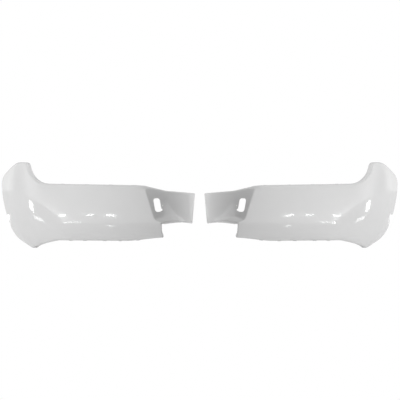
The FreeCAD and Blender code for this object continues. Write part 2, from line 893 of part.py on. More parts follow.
def main():
    os.makedirs("parts", exist_ok=True)
    for name, shape in build_side().items():
        shape.exportStep("parts/right_" + name + ".step")
        shape.mirror(V(), V(1, 0, 0)).exportStep("parts/left_" + name + ".step")


main()
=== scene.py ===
"""Looks of the bumper covers: painted shells, taped and clipped on their inner side."""

import math
from collections import namedtuple

import bmesh
import bpy
import numpy as np
from mathutils import Matrix, Quaternion, Vector, geometry


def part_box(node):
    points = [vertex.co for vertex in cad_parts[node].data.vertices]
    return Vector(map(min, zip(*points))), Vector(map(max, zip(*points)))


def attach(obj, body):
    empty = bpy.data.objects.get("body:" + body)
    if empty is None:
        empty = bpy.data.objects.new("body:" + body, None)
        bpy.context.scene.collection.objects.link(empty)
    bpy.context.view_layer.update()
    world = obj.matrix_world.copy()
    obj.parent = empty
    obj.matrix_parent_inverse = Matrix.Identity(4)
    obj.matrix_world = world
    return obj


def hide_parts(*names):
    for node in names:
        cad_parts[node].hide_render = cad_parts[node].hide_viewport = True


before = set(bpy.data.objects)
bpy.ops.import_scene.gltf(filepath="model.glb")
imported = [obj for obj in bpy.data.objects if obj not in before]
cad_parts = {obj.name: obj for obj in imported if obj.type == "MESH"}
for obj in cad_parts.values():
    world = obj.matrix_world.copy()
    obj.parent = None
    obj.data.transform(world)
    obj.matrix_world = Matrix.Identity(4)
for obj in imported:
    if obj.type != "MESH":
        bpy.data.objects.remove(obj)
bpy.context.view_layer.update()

# The shell is worked out in millimetres in the frame's axes, for the side at +X, and
# turned into metres when its mesh is made. The dimensions are those of the CAD part.
MM = 0.001
V = Vector
UP = V((0, 0, 1))
FORWARD = V((0, 1, 0))
SHELL = 3.0                     # wall thickness

# The main skin: its plan curve, from straight behind round to the side, and its crown
BOW_RADIUS = 3400.0
REAR_LINE = -192.27
CORNER_START = 762.0
CORNER_FINISH = 1072.0
SIDE_HEADING = math.radians(73.5)
SIDE_RADIUS = 6000.0

REAR_NOSE = 125.0
SIDE_NOSE = 290.0
REAR_UPPER_CROWN = 900.0
REAR_LOWER_CROWN = 320.0
REAR_TUCK = 1.24e-5
SIDE_CROWN = 500.0
CROWN_CHANGE_START = 640.0
CROWN_CHANGE_FINISH = 1000.0

# The recess skin: how far the tab is set back, and how its wall eases into it
TAB_SETBACK = 104.0
TAB_FLAT_FROM = 46.0
WALL_STRAIGHT = 0.42

# A corner of a fold line, seen from straight behind: its rounding in that view, and
# the roll radius and lip length of the edge there
Corner = namedtuple("Corner", "x z radius roll lip")

CREASE_TOP = Corner(275.5, 297, 0, 19, 20)
NOTCH = Corner(194, 127, 0, 5, 10)
LOWER_CORNER = Corner(190, 56, 0, 8, 14)
TAB_FOOT = Corner(43, 129, 0, 7, 10)
TAB_HEAD = Corner(28.5, 268, 0, 5, 10)

PERIMETER = [
    CREASE_TOP,
    Corner(560, 302, 2500, 19, 20),
    Corner(842, 305, 155, 20, 18),
    Corner(877, 414, 5, 18, 13),
    Corner(918, 415, 160, 18, 13),
    Corner(989, 347, 40, 11, 12),
    Corner(972, 195, 400, 8, 12),
    Corner(921, 60, 80, 9, 12),
    Corner(838, 3.75, 70, 14, 16),
    Corner(715, 48.5, 120, 19, 20),
    Corner(360, 45, 500, 19, 20),
    LOWER_CORNER,
]
FREE_END = [LOWER_CORNER, Corner(195, 80, 40, 6, 12), NOTCH]
CREASE = [NOTCH, Corner(226, 142, 33, 5, 10), CREASE_TOP]
TAB_BOTTOM = [NOTCH, Corner(152, 140, 90, 8, 10), Corner(112, 140, 160, 8, 10), TAB_FOOT]
TAB_END = [TAB_FOOT, TAB_HEAD]
TAB_TOP = [CREASE_TOP, Corner(158, 277, 180, 8, 12), TAB_HEAD]
MITRE_RUN = 38.0                # over which two edges turn into their shared corner
LIP_DIP = math.radians(5)
LEAST_ROLL = math.radians(38)
MOST_ROLL = math.radians(98)

LAMP_CENTRE = (210.5, 214.0)
LAMP_WIDTH = 40.0
LAMP_HEIGHT = 70.0
LAMP_CORNER = 14.0
LAMP_LEAN = 3.5
LAMP_KEYWAY = 6.0
KEYWAY_RISE = 4.0               # of the keyway's foot over the opening's
LAMP_SCREW_CENTRE = (184.5, 212.0)
LAMP_SCREW_HOLE = 6.0
RETAINER_HOLE = 10.4
SEAT_REACH = 14.0               # half the stretch of lip that is filled round a hole

# A shallow valley that runs just inside the rolled border of the top edge and the ear
VALLEY_DEPTH = 0.9
VALLEY_WIDTH = 7.0
VALLEY_LENGTH = 800.0           # from the crease, along the border
VALLEY_RISE = 80.0              # over which it deepens at its start
VALLEY_FADE = 60.0              # and fades at its end

# How finely the shell is meshed, and how far its sharp corners are rounded back
STEP = 7.0
ARC_STEP = math.radians(6)
ROLL_ROWS = 10
LIP_ROWS = 3
CORNER_ROUND = 5.0
ROUND_SPANS = 5
RECESS_LENGTH = 190.0
RECESS_HEIGHT = 150.0


# ---------------------------------------------------------------- curves and skins
def ease(t):
    t = max(0.0, min(1.0, t))
    return t * t * (3 - 2 * t)


def mitre(a, b):
    """The vector whose reach along both unit vectors is one."""
    return (a + b) / (1.0 + a.dot(b))


def sag(distance, radius):
    return radius - math.sqrt(radius * radius - distance * distance)


def heading(run):
    if run > CORNER_FINISH:
        return SIDE_HEADING + (run - CORNER_FINISH) / SIDE_RADIUS
    turn = SIDE_HEADING - CORNER_FINISH / BOW_RADIUS
    return run / BOW_RADIUS + turn * ease((run - CORNER_START) / (CORNER_FINISH - CORNER_START))


def plan_table(length=1400):
    points = [(0.0, REAR_LINE)]
    for i in range(length):
        x, y = points[-1]
        angle = heading(i + 0.5)
        points.append((x + math.cos(angle), y + math.sin(angle)))
    return points


PLAN = plan_table()


def plan_point(run):
    i = int(run)
    share = run - i
    (x0, y0), (x1, y1) = PLAN[i], PLAN[i + 1]
    return x0 + share * (x1 - x0), y0 + share * (y1 - y0)


def rear_crown(rise):
    if rise > 0:
        return sag(rise, REAR_UPPER_CROWN)
    return sag(rise, REAR_LOWER_CROWN) + REAR_TUCK * abs(rise) ** 3


def crown(run, z):
    side = ease((run - CROWN_CHANGE_START) / (CROWN_CHANGE_FINISH - CROWN_CHANGE_START))
    return (1 - side) * rear_crown(z - REAR_NOSE) + side * sag(z - SIDE_NOSE, SIDE_CROWN)


def skin(run, z):
    """Point of the main outer skin, at a distance along the plan curve and a height."""
    x, y = plan_point(run)
    angle = heading(run)
    inside = crown(run, z)
    return V((x - inside * math.sin(angle), y + inside * math.cos(angle), z))


def skin_slopes(run, z):
    along = skin(run + 0.5, z) - skin(run - 0.5, z)
    upward = skin(run, z + 0.5) - skin(run, z - 0.5)
    return along, upward


def skin_normal(run, z):
    along, upward = skin_slopes(run, z)
    return along.cross(upward).normalized()


def run_at(x, z):
    low, high = 0.0, 1390.0
    for _ in range(50):
        middle = (low + high) / 2
        if skin(middle, z).x < x:
            low = middle
        else:
            high = middle
    return low


# ---------------------------------------------------------------- fold lines
Stop = namedtuple("Stop", "a b da db roll lip")


def rounded(corners):
    """Walk a chain of flat corners with its corner radii, a short step at a time."""
    ends = []
    for i, c in enumerate(corners):
        if c.radius == 0:
            ends.append((0.0, 0.0, 0.0))
            continue
        before, after = corners[i - 1], corners[i + 1]
        a_in = math.atan2(c.z - before.z, c.x - before.x)
        a_out = math.atan2(after.z - c.z, after.x - c.x)
        turn = (a_out - a_in + math.pi) % (2 * math.pi) - math.pi
        ends.append((c.radius * math.tan(abs(turn) / 2), a_in, turn))
    stops = []
    for i, c in enumerate(corners):
        cut, a_in, turn = ends[i]
        if turn:
            stops += corner_stops(c, cut, a_in, turn)
        if i + 1 < len(corners):
            stops += line_stops(c, corners[i + 1], cut, ends[i + 1][0], first=not turn)
    last = corners[-1]
    stops.append((last.x, last.z, stops[-1][2], stops[-1][3]))
    return with_sizes(corners, stops)


def corner_stops(c, cut, a_in, turn):
    side = 1 if turn > 0 else -1
    ax = c.x - cut * math.cos(a_in)
    az = c.z - cut * math.sin(a_in)
    cx = ax - side * c.radius * math.sin(a_in)
    cz = az + side * c.radius * math.cos(a_in)
    count = max(2, math.ceil(abs(turn) / ARC_STEP), math.ceil(abs(turn) * c.radius / STEP))
    stops = []
    for k in range(count + 1):
        a = a_in + turn * k / count
        place = (cx + side * c.radius * math.sin(a), cz - side * c.radius * math.cos(a))
        stops.append(place + (math.cos(a), math.sin(a)))
    return stops


def line_stops(start, end, cut_start, cut_end, first):
    length = math.hypot(end.x - start.x, end.z - start.z)
    dx, dz = (end.x - start.x) / length, (end.z - start.z) / length
    clear = length - cut_start - cut_end
    count = max(2, math.ceil(clear / STEP))
    stops = []
    for k in range(0 if first else 1, count):
        along = cut_start + clear * k / count
        stops.append((start.x + dx * along, start.z + dz * along, dx, dz))
    return stops


def with_sizes(corners, stops):
    """Give every stop the roll radius and lip length between those of its corners."""
    nearest = []
    for c in corners:
        gaps = [math.hypot(p[0] - c.x, p[1] - c.z) for p in stops]
        nearest.append(gaps.index(min(gaps)))
    result = []
    for i, p in enumerate(stops):
        k = max(j for j in range(len(corners) - 1) if nearest[j] <= i)
        share = ease((i - nearest[k]) / (nearest[k + 1] - nearest[k]))
        roll = corners[k].roll + share * (corners[k + 1].roll - corners[k].roll)
        lip = corners[k].lip + share * (corners[k + 1].lip - corners[k].lip)
        result.append(Stop(*p, roll, lip))
    return result


def clear_of_ends(stops, reach):
    """Keep the end stops, and put their neighbours exactly this far from them."""
    def gap(p, q):
        return math.hypot(p.a - q.a, p.b - q.b)

    def at_reach(end, line):
        near = max(k for k, p in enumerate(line) if gap(p, end) <= reach)
        p, q = line[near], line[near + 1]
        share = (reach - gap(p, end)) / (gap(q, end) - gap(p, end))
        return Stop(*[m + share * (n - m) for m, n in zip(p, q)])

    first, last = stops[0], stops[-1]
    middle = [p for p in stops if gap(p, first) > 1.4 * reach and gap(p, last) > 1.4 * reach]
    return [first, at_reach(first, stops)] + middle + [at_reach(last, stops[::-1]), last]


class Line:
    """A chain of corners seen from straight behind, read at any share of its length."""

    def __init__(self, corners):
        self.stops = np.array(rounded(corners))
        steps = np.hypot(*np.diff(self.stops[:, :2], axis=0).T)
        self.at = np.concatenate([[0.0], np.cumsum(steps)]) / steps.sum()

    def value(self, t, field):
        return float(np.interp(t, self.at, self.stops[:, field]))

    def place(self, t):
        return self.value(t, 0), self.value(t, 1)


# ---------------------------------------------------------------- recess skin
bottom_line = Line(TAB_BOTTOM)
top_line = Line(TAB_TOP)
crease_line = Line(CREASE)
end_line = Line(TAB_END)
crease_shares = np.linspace(0, 1, 240)
crease_depths = []
for t in crease_shares:
    x, z = crease_line.place(t)
    crease_depths.append(skin(run_at(x, z), z).y)


def recess_depth(x, crease_x, crease_y):
    """Y of the recess skin: straight back from the crease, then easing flat."""
    share = (crease_x - x) / (crease_x - TAB_FLAT_FROM)
    tab_y = REAR_LINE + TAB_SETBACK
    if share >= 1:
        return tab_y
    slope = 2 / (1 + WALL_STRAIGHT)
    if share < WALL_STRAIGHT:
        remaining = 1 - slope * share
    else:
        remaining = slope * (1 - share) ** 2 / (2 * (1 - WALL_STRAIGHT))
    return tab_y + (crease_y - tab_y) * remaining


def recess(u, v):
    """Point of the recess skin: u from the crease inward, v from the bottom up."""
    low, high = bottom_line.place(u), top_line.place(u)
    crease, end = crease_line.place(v), end_line.place(v)
    corners = [bottom_line.place(0), bottom_line.place(1), top_line.place(0), top_line.place(1)]
    x, z = (
        (1 - v) * low[k] + v * high[k] + (1 - u) * crease[k] + u * end[k]
        - (1 - u) * (1 - v) * corners[0][k] - u * (1 - v) * corners[1][k]
        - (1 - u) * v * corners[2][k] - u * v * corners[3][k]
        for k in (0, 1)
    )
    crease_y = float(np.interp(v, crease_shares, crease_depths))
    return V((x, recess_depth(x, crease[0], crease_y), z))


def recess_normal(u, v):
    inward = recess(min(u + 0.01, 1), v) - recess(max(u - 0.01, 0), v)
    upward = recess(u, min(v + 0.01, 1)) - recess(u, max(v - 0.01, 0))
    return upward.cross(inward).normalized()


def recess_at(x, z):
    """The recess skin's (u, v) where it is seen at (x, z) from straight behind."""
    u, v = 0.5, 0.5
    for _ in range(12):
        here = recess(u, v)
        du = (recess(u + 0.001, v) - here) / 0.001
        dv = (recess(u, v + 0.001) - here) / 0.001
        dx, dz = x - here.x, z - here.z
        spread = du.x * dv.z - du.z * dv.x
        u += (dx * dv.z - dz * dv.x) / spread
        v += (du.x * dz - du.z * dx) / spread
    return u, v


# ---------------------------------------------------------------- rolled edges
# A station is a place on a fold line: the outward normal of the skin, the direction off
# the skin's edge, the angle that the edge rolls through, its radius and the lip length,
# and where it lies on the flat drawing of its patch of skin.
Station = namedtuple("Station", "point normal outward turn roll lip flat")


def roll_turn(normal, outward, inward):
    """The angle that brings the edge round to point into the truck.

    An edge that faces up turns a little further, so that its lip slopes down inside.
    """
    angle = math.atan2(-inward.dot(normal), inward.dot(outward))
    angle += LIP_DIP * max(0.0, outward.z)
    return max(LEAST_ROLL, min(MOST_ROLL, angle))


def skin_stations(corners):
    unrolled = [c._replace(x=run_at(c.x, c.z)) for c in corners]
    stations = []
    for t in clear_of_ends(rounded(unrolled), CORNER_ROUND):
        normal = skin_normal(t.a, t.b)
        along, upward = skin_slopes(t.a, t.b)
        outward = normal.cross((along * t.da + upward * t.db).normalized())
        angle = heading(t.a)
        turn = roll_turn(normal, outward, V((-math.sin(angle), math.cos(angle), 0)))
        point = skin(t.a, t.b)
        stations.append(Station(point, normal, outward, turn, t.roll, t.lip, (t.a, t.b)))
    return stations


def shares_along(length):
    """Shares of a length with its end steps exactly the corner rounding."""
    near = CORNER_ROUND / length
    count = round(length / STEP)
    inner = [near + (1 - 2 * near) * i / count for i in range(count + 1)]
    return [0.0] + inner + [1.0]


def recess_stations(line, place, length, side):
    """Stations along one border of the recess skin, where place(t) gives its (u, v)."""
    stations = []
    for t in shares_along(length):
        u, v = place(t)
        normal = recess_normal(u, v)
        after, before = place(min(t + 0.004, 1)), place(max(t - 0.004, 0))
        travel = (recess(*after) - recess(*before)).normalized()
        outward = normal.cross(travel).normalized() * side
        turn = roll_turn(normal, outward, FORWARD)
        flat = (u * RECESS_LENGTH, v * RECESS_HEIGHT)
        roll, lip = line.value(t, 4), line.value(t, 5)
        stations.append(Station(recess(u, v), normal, outward, turn, roll, lip, flat))
    return stations


def mitred(first, second):
    """The station shared by two edges that meet in a corner."""
    return first._replace(
        normal=mitre(first.normal, second.normal),
        outward=mitre(first.outward, second.outward),
        turn=math.pi / 2,
    )


def with_mitres(stations, start, end):
    """Turn both ends of an edge gradually into their mitred corners."""
    lengths = [0.0]
    for p, q in zip(stations, stations[1:]):
        lengths.append(lengths[-1] + (q.point - p.point).length)
    result = []
    for s, length in zip(stations, lengths):
        for corner, away in ((start, length), (end, lengths[-1] - length)):
            share = 1 - ease(away / MITRE_RUN)
            s = s._replace(
                normal=s.normal * (1 - share) + corner.normal * share,
                outward=s.outward * (1 - share) + corner.outward * share,
                turn=s.turn * (1 - share) + corner.turn * share,
            )
        result.append(s)
    return result


# A spot is a point of the outer sheet with the vector through the wall, whose reach
# square to the sheet is one, its place on the flat drawing of its patch, and how much
# the wall is thinned there by the valley.
Spot = namedtuple("Spot", "point face flat thinned", defaults=(0.0,))


def edge_section(s, valley=0.0):
    """The outer points across a rolled edge, from the fold line to the rim."""
    spots = []
    for k in range(ROLL_ROWS + 1):
        a = s.turn * k / ROLL_ROWS
        face = s.outward * math.sin(a) + s.normal * math.cos(a)
        sideways = s.outward * (s.roll * math.sin(a))
        point = s.point + sideways - s.normal * (s.roll * (1 - math.cos(a)))
        way = s.outward * math.cos(a) - s.normal * math.sin(a)
        spots.append(sunk(Spot(point, face, s.flat), s.roll * a, way, valley))
    way = s.outward * math.cos(s.turn) - s.normal * math.sin(s.turn)
    foot = spots[-1]
    for k in range(1, LIP_ROWS + 1):
        spots.append(foot._replace(point=foot.point + way * (s.lip * k / LIP_ROWS)))
    return spots


def sunk(spot, distance, away, share):
    """A spot let down into the valley, at a distance from its floor line."""
    depth = share * VALLEY_DEPTH * math.exp(-(distance / VALLEY_WIDTH) ** 2)
    slope = -2 * distance / VALLEY_WIDTH ** 2 * depth
    point = spot.point - spot.face * depth
    return spot._replace(point=point, face=spot.face + away * slope, thinned=depth)


def valley_share(stations, k):
    """How deep the valley is at a station: full along the top and the ear, then fading."""
    lengths = [0.0]
    for p, q in zip(stations, stations[1:]):
        lengths.append(lengths[-1] + (q.point - p.point).length)
    start = ease((lengths[k] - 2 * CORNER_ROUND) / VALLEY_RISE)
    finish = 1 - ease((lengths[k] - VALLEY_LENGTH + VALLEY_FADE) / VALLEY_FADE)
    return start * finish


def bend(start, corner, end, t):
    """A spot on the curve that rounds off a sharp corner."""
    weights = ((1 - t) ** 2, 2 * t * (1 - t), t ** 2)
    spots = (start, corner, end)
    point = sum((s.point * w for s, w in zip(spots, weights)), V())
    face = sum((s.face * w for s, w in zip(spots, weights)), V())
    flat = tuple(sum(s.flat[k] * w for s, w in zip(spots, weights)) for k in (0, 1))
    return Spot(point, face, flat)


def round_corner(before, corner, after):
    """The sections strictly between two that round off the corner between them."""
    sections = []
    for k in range(1, ROUND_SPANS):
        t = k / ROUND_SPANS
        sections.append([bend(a, b, c, t) for a, b, c in zip(before, corner, after)])
    return sections


# ---------------------------------------------------------------- building the sheet
class Sheet:
    """The outer sheet of the shell as it grows: its spots, its faces and its borders."""

    def __init__(self):
        self.spots = []
        self.faces = []
        self.index = {}

    def add(self, spot):
        key = tuple(round(c * 50) for c in spot.point)
        if key not in self.index:
            self.index[key] = len(self.spots)
            self.spots.append(spot)
        return self.index[key]

    def face(self, spots):
        """Add a face, turned so that it looks out of the shell."""
        corners = []
        for i in (self.add(s) for s in spots):
            if i not in corners:
                corners.append(i)
        if len(corners) < 3:
            return
        points = [self.spots[i].point for i in corners]
        looks = (points[2] - points[0]).cross(points[-1] - points[1])
        outward = sum((self.spots[i].face for i in corners), V())
        self.faces.append(corners if looks.dot(outward) > 0 else corners[::-1])

    def grid(self, rows):
        for near, far in zip(rows, rows[1:]):
            for a, b, c, d in zip(near, near[1:], far[1:], far):
                self.face([a, b, c, d])


def inside(points, outline):
    """Which points lie inside a closed outline, both on a flat drawing."""
    x, z = points[:, 0], points[:, 1]
    result = np.zeros(len(points), bool)
    for (x0, z0), (x1, z1) in zip(outline, outline[1:] + outline[:1]):
        crosses = (z0 > z) != (z1 > z)
        rise = z1 - z0 if z1 != z0 else 1.0
        result ^= crosses & (x < (x1 - x0) * (z - z0) / rise + x0)
    return result


def clear_of(points, outline, gap):
    """Which points keep at least this gap from every point and middle of an outline."""
    result = np.ones(len(points), bool)
    for (x0, z0), (x1, z1) in zip(outline, outline[1:] + outline[:1]):
        for share in (0.0, 0.5):
            x, z = x0 + share * (x1 - x0), z0 + share * (z1 - z0)
            result &= np.hypot(points[:, 0] - x, points[:, 1] - z) > gap
    return result


def fill(sheet, outline, holes, place, spacing):
    """Fill a patch of skin between its border spots, where place(a, b) gives a spot."""
    loops = [outline] + holes
    flats = [[s.flat for s in loop] for loop in loops]
    border = np.array(flats[0])
    low, high = border.min(axis=0), border.max(axis=0)
    grid = np.array([
        (a, b)
        for a in np.arange(low[0] + spacing / 2, high[0], spacing)
        for b in np.arange(low[1] + spacing / 2, high[1], spacing)
    ])
    keep = inside(grid, flats[0])
    for k, flat in enumerate(flats):
        keep &= clear_of(grid, flat, spacing * (0.45 if k == 0 else 0.3))
        if k:
            keep &= ~inside(grid, flat)
    spots = [s for loop in loops for s in loop]
    edges = []
    start = 0
    for loop in loops:
        edges += [(start + i, start + (i + 1) % len(loop)) for i in range(len(loop))]
        start += len(loop)
    spots += [place(a, b) for a, b in grid[keep]]
    flat_points = [V(s.flat) for s in spots]
    cut = geometry.delaunay_2d_cdt(flat_points, edges, [], 1, 1e-5)
    origin = [sources[0] for sources in cut[3]]
    for corners in cut[2]:
        middle = sum((cut[0][i] for i in corners), V((0, 0))) / len(corners)
        in_hole = any(inside(np.array([middle]), flat)[0] for flat in flats[1:])
        if not in_hole:
            sheet.face([spots[origin[i]] for i in corners])


def main_spot(run, z):
    return Spot(skin(run, z), skin_normal(run, z), (run, z))


class Valley:
    """The main skin with its valley, whose floor line is the border's fold line."""

    def __init__(self, stations, shares):
        self.points = np.array([s.point for s in stations])
        self.shares = np.array(shares)

    def spot(self, run, z):
        """A spot of the skin, let down if it lies near the floor line."""
        spot = main_spot(run, z)
        gaps = np.linalg.norm(self.points - np.array(spot.point), axis=1)
        near = int(gaps.argmin())
        if gaps[near] > 4 * VALLEY_WIDTH or self.shares[near] == 0:
            return spot
        away = (spot.point - V(self.points[near])).normalized()
        return sunk(spot, float(gaps[near]), away, float(self.shares[near]))


def recess_spot(a, b):
    u, v = a / RECESS_LENGTH, b / RECESS_HEIGHT
    return Spot(recess(u, v), recess_normal(u, v), (a, b))


def crease_strip(free_end, perimeter):
    """Rows of spots across the crease, from the notch up, each rounding it off."""
    rows = []
    shares = shares_along(RECESS_HEIGHT + 20)
    near = CORNER_ROUND / RECESS_LENGTH
    for v in shares:
        point = recess(0, v)
        run = run_at(point.x, point.z)
        after, before = recess(0, min(v + 0.004, 1)), recess(0, max(v - 0.004, 0))
        turn = V((after.z - before.z, before.x - after.x)).normalized()
        low = V(free_end[-2].flat) - V(free_end[-1].flat)
        high = V(perimeter[1].flat) - V(perimeter[0].flat)
        low_share = 1 - ease(v / 0.12)
        high_share = 1 - ease((1 - v) / 0.12)
        away = turn * (1 - low_share - high_share) * CORNER_ROUND
        away += low * low_share + high * high_share
        corner_face = mitre(skin_normal(run, point.z), recess_normal(0, v))
        first = main_spot(run + away.x, point.z + away.y)
        last = recess_spot(near * RECESS_LENGTH, v * RECESS_HEIGHT)
        corner = Spot(point, corner_face, (run, point.z))
        row = [first]
        for k in range(1, ROUND_SPANS):
            row.append(bend(first, corner, last, k / ROUND_SPANS))
        rows.append(row + [last])
    return rows


def lamp_outline():
    """The lamp opening in its own plane: a rounded slot with a keyway at one corner."""
    half, tall = LAMP_WIDTH / 2, LAMP_HEIGHT / 2
    key_z = LAMP_KEYWAY + KEYWAY_RISE - tall
    points = []
    for cx, cz, start in ((1, 1, 0), (-1, 1, 90), (-1, -1, 180), (1, -1, 270)):
        if start == 180:
            for k in range(13):
                a = math.radians(90 + 190 * k / 12)
                x, z = LAMP_KEYWAY * math.cos(a), LAMP_KEYWAY * math.sin(a)
                points.append((x - half, z + key_z))
        for k in range(9):
            a = math.radians(start + 90 * k / 8)
            x = cx * (half - LAMP_CORNER) + LAMP_CORNER * math.cos(a)
            z = cz * (tall - LAMP_CORNER) + LAMP_CORNER * math.sin(a)
            if math.hypot(x + half, z - key_z) > LAMP_KEYWAY + 0.2:
                points.append((x, z))
    return points


def on_recess(centre, outline, lean):
    """Spots of the recess skin under an outline drawn about a point, leaning outboard."""
    u, v = recess_at(*centre)
    middle, normal = recess(u, v), recess_normal(u, v)
    across = UP.cross(normal).normalized()
    across.rotate(Quaternion(normal, -math.radians(lean)))
    upward = normal.cross(across)
    spots = []
    for x, z in outline:
        point = middle + across * x + upward * z
        u, v = recess_at(point.x, point.z)
        spots.append(recess_spot(u * RECESS_LENGTH, v * RECESS_HEIGHT))
    return spots


def circle(radius, count):
    angles = [2 * math.pi * k / count for k in range(count)]
    return [(radius * math.cos(a), radius * math.sin(a)) for a in angles]


def lip_with_hole(sheet, sections, seat):
    """A stretch of lip round a retainer, filled in plan view about its hole."""
    lips = [[s._replace(flat=s.point.xy[:]) for s in row[ROLL_ROWS:]] for row in sections]
    outline = [row[0] for row in lips] + lips[-1][1:]
    outline += [row[-1] for row in lips[-2::-1]] + lips[0][-2:0:-1]
    first, second, third = lips[0][0], lips[-1][0], lips[-1][-1]
    across = (second.point - first.point).cross(third.point - first.point)

    def place(x, y):
        slope = (across.x * (x - first.point.x) + across.y * (y - first.point.y)) / across.z
        return Spot(V((x, y, first.point.z - slope)), second.face, (x, y))

    hole = [place(seat[0] + x, seat[1] + y) for x, y in circle(RETAINER_HOLE / 2, 24)]
    fill(sheet, outline, [hole], place, STEP)


def rim_sections(edges):
    """The closed loop of cross sections round the shell, its five corners rounded."""
    perimeter, free_end, tab_bottom, tab_end, tab_top = edges
    chain = [perimeter, free_end, tab_bottom, tab_end, tab_top[::-1]]
    loop = []
    for edge, following in zip(chain, chain[1:] + chain[:1]):
        loop += edge[1:-1]
        loop += round_corner(edge[-2], edge[-1], following[1])
    return loop


def build_sheet(seats):
    """The whole outer sheet of the shell at +X."""
    perimeter = skin_stations(PERIMETER)
    free_end = skin_stations(FREE_END)
    tab_bottom = recess_stations(bottom_line, lambda t: (t, 0.0), RECESS_LENGTH, 1)
    tab_top = recess_stations(top_line, lambda t: (t, 1.0), RECESS_LENGTH, -1)
    tab_end = recess_stations(end_line, lambda t: (1.0, t), RECESS_HEIGHT, 1)

    crease_top = mitred(perimeter[0], tab_top[0])
    notch = mitred(free_end[-1], tab_bottom[0])
    lower_corner = mitred(perimeter[-1], free_end[0])
    tab_foot = mitred(tab_bottom[-1], tab_end[0])
    tab_head = mitred(tab_end[-1], tab_top[-1])

    stretches = [
        (perimeter, crease_top, lower_corner),
        (free_end, lower_corner, notch),
        (tab_bottom, notch, tab_foot),
        (tab_end, tab_foot, tab_head),
        (tab_top, crease_top, tab_head),
    ]
    edges = [[edge_section(s) for s in with_mitres(*stretch)] for stretch in stretches]
    shares = [valley_share(perimeter, k) for k in range(len(perimeter))]
    border = with_mitres(*stretches[0])
    edges[0] = [edge_section(s, share) for s, share in zip(border, shares)]
    valley = Valley(perimeter, shares)
    loop = rim_sections(edges)
    sheet = Sheet()
    roll_and_lip(sheet, loop, seats)

    rows = crease_strip(free_end, perimeter)
    sheet.grid(rows)
    folds = [[row[0] for row in edge] for edge in edges]
    corner = [row[0] for row in round_corner(edges[0][-2], edges[0][-1], edges[1][1])]
    outline = folds[0][1:-1] + corner + folds[1][1:-1] + [row[0] for row in rows[1:-1]]
    fill(sheet, outline, [], valley.spot, STEP)

    foot = [row[0] for row in round_corner(edges[2][-2], edges[2][-1], edges[3][1])]
    head = [row[0] for row in round_corner(edges[3][-2], edges[3][-1], edges[4][-2])]
    outline = folds[2][1:-1] + foot + folds[3][1:-1] + head + folds[4][-2:0:-1]
    outline += [row[-1] for row in rows[-2:0:-1]]
    lamp = on_recess(LAMP_CENTRE, lamp_outline(), LAMP_LEAN)
    screw = on_recess(LAMP_SCREW_CENTRE, circle(LAMP_SCREW_HOLE / 2, 20), 0)
    fill(sheet, outline, [lamp, screw], recess_spot, STEP)
    return sheet


def roll_and_lip(sheet, loop, seats):
    """The rolled edge all the way round, with a hole through its lip at every seat."""
    count = len(loop)
    windows = []
    for seat in seats:
        near = [
            i for i in range(count)
            if abs(loop[i][ROLL_ROWS].point.x - seat[0]) < SEAT_REACH and loop[i][0].point.z < 100
        ]
        windows.append(range(min(near), max(near) + 1))
        lip_with_hole(sheet, [loop[i] for i in windows[-1]], seat)
    for i in range(count):
        rows = [loop[i], loop[(i + 1) % count]]
        if any(i in window and i + 1 in window for window in windows):
            rows = [row[:ROLL_ROWS + 1] for row in rows]
        sheet.grid(rows)


# ---------------------------------------------------------------- making meshes
def shell_mesh(name, sheet, side):
    """The sheet given its thickness, with smooth normals that break at the rims."""
    count = len(sheet.spots)
    outer = np.array([s.point for s in sheet.spots])
    through = np.array([s.face for s in sheet.spots])
    wall = np.array([SHELL - s.thinned for s in sheet.spots])[:, None]
    points = np.concatenate([outer, outer - through * wall])
    normals = through / np.linalg.norm(through, axis=1)[:, None]

    faces = [list(f) for f in sheet.faces]
    corner_normals = [normals[i] for f in faces for i in f]
    faces += [[i + count for i in f[::-1]] for f in sheet.faces]
    corner_normals += [-normals[i] for f in sheet.faces for i in f[::-1]]

    used = {(a, b) for f in sheet.faces for a, b in zip(f, f[1:] + f[:1])}
    rim = [(a, b) for a, b in used if (b, a) not in used]
    rim.sort()
    walls = [[b, a, a + count, b + count] for a, b in rim]
    rim_normals = np.zeros((2 * count, 3))
    for wall in walls:
        p = points[wall]
        looks = np.cross(p[2] - p[0], p[3] - p[1])
        rim_normals[wall] += looks / np.linalg.norm(looks)
    faces += walls
    corner_normals += [rim_normals[i] for wall in walls for i in wall]

    return make_mesh(name, points, faces, corner_normals, side, len(walls))


def make_mesh(name, points, faces, corner_normals, side, last_inside):
    """A mesh in metres for one side, its inner half and its rims in a second slot."""
    flip = np.array([side, 1, 1])
    normals = np.array(corner_normals) * flip
    if side < 0:
        turned, start = [], 0
        for f in faces:
            turned.append(normals[start:start + len(f)][::-1])
            start += len(f)
        normals = np.concatenate(turned)
        faces = [f[::-1] for f in faces]
    mesh = bpy.data.meshes.new(name)
    mesh.from_pydata((points * flip * MM).tolist(), [], faces)
    mesh.polygons.foreach_set("use_smooth", [True] * len(faces))
    outer_faces = (len(faces) - last_inside) // 2
    slots = [0] * outer_faces + [1] * (len(faces) - outer_faces)
    mesh.polygons.foreach_set("material_index", slots)
    mesh.normals_split_custom_set(normals.tolist())
    thing = bpy.data.objects.new(name, mesh)
    bpy.context.collection.objects.link(thing)
    return thing


# ---------------------------------------------------------------- materials
def new_material(name):
    material = bpy.data.materials.new(name)
    material.use_nodes = True
    return material, material.node_tree, material.node_tree.nodes["Principled BSDF"]


def noise(tree, scale, detail, stretch=(1, 1, 1)):
    """A noise texture held to the object's own coordinates, in metres."""
    place = tree.nodes.new("ShaderNodeTexCoord")
    mapping = tree.nodes.new("ShaderNodeMapping")
    mapping.inputs["Scale"].default_value = stretch
    texture = tree.nodes.new("ShaderNodeTexNoise")
    texture.inputs["Scale"].default_value = scale
    texture.inputs["Detail"].default_value = detail
    tree.links.new(place.outputs["Object"], mapping.inputs["Vector"])
    tree.links.new(mapping.outputs["Vector"], texture.inputs["Vector"])
    return texture.outputs["Fac"]


